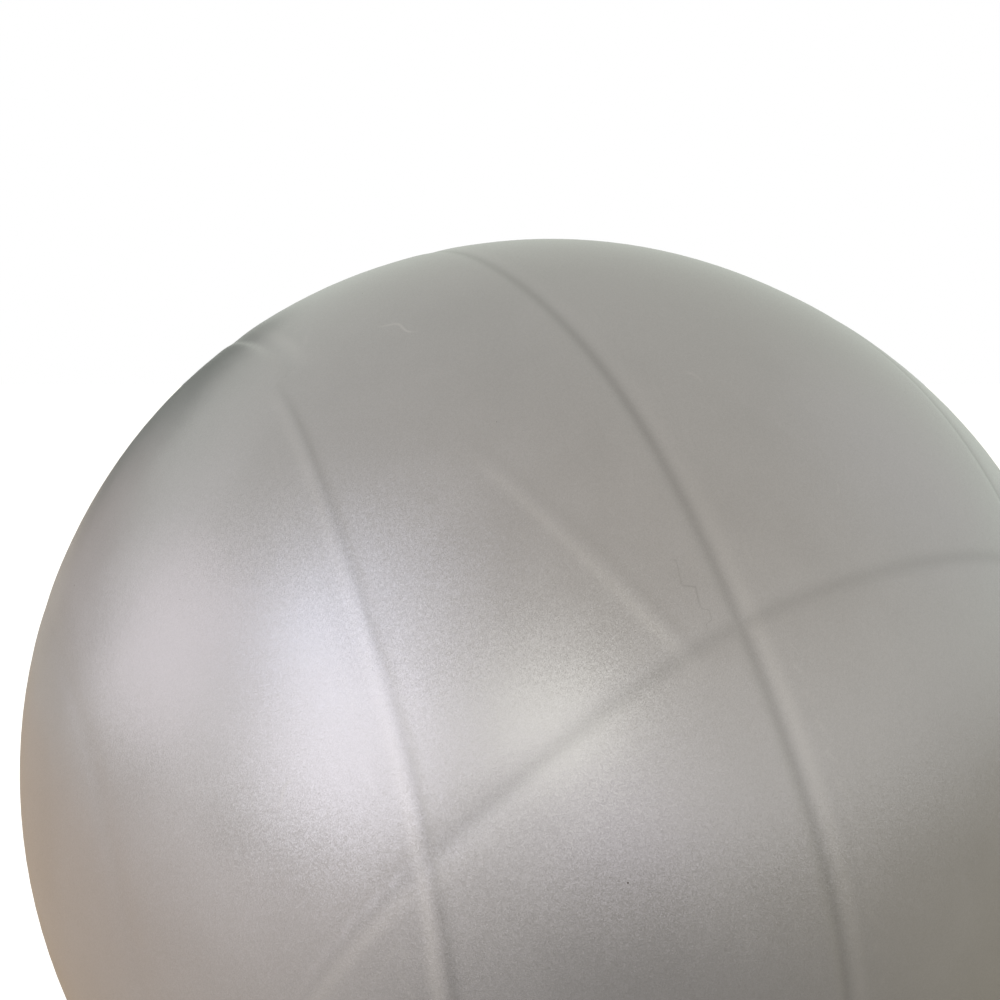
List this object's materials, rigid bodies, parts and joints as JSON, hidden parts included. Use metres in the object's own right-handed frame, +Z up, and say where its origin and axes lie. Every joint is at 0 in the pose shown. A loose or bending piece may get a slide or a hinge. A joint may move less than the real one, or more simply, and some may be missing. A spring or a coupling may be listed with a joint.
{
  "type": "exercise ball",
  "caption": "Large inflated exercise ball with a thin moulded skin, soft fold creases, a bonded valve seat and a push-in valve plug that pulls out.",
  "frame": {"origin": "centre of the flat patch that the inflated ball makes on the floor", "axes": "+Z up; the valve points to the back, towards +Y, a little left of it and a little above the ball's middle"},
  "size_m": [0.65, 0.65, 0.6475],
  "materials": {
    "ball_skin": "satin",
    "valve_insert": "satin",
    "plug_plastic": "satin"
  },
  "bodies": {
    "ball": {"ball_shell": "ball_skin", "valve_seat": "valve_insert"},
    "plug": {"valve_plug": "plug_plastic"}
  },
  "joints": [
    {"name": "plug_pull", "type": "slide", "parent": "ball", "child": "plug", "axis": [-0.3345, 0.9192, 0.2079], "range_m": [0, 0.04]}
  ]
}
